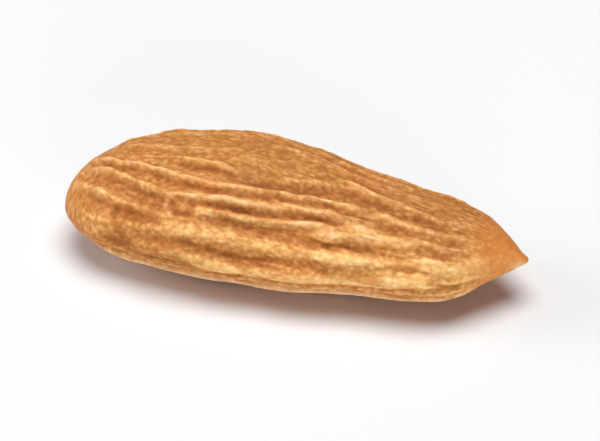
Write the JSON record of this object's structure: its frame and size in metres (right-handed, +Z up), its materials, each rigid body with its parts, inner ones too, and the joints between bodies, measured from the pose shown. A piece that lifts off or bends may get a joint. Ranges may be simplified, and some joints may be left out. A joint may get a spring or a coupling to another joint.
{
  "type": "mamra almond",
  "caption": "Shelled mamra almond kernel: a long, flattened teardrop with a blunt base, a pointed tip and brown skin raised in long branching veins. It lies on its flatter side.",
  "frame": {"origin": "middle of the bottom of the kernel's bounding box, on the surface that the kernel rests on", "axes": "+X from the blunt base to the pointed tip, +Y towards the far rim, +Z up through the crest"},
  "size_m": [0.026, 0.0118, 0.0064],
  "materials": {
    "skin": "matte and slightly powdery, light on the veins and darker in the furrows between them"
  },
  "bodies": {
    "root": {"kernel": "skin"}
  },
  "joints": []
}
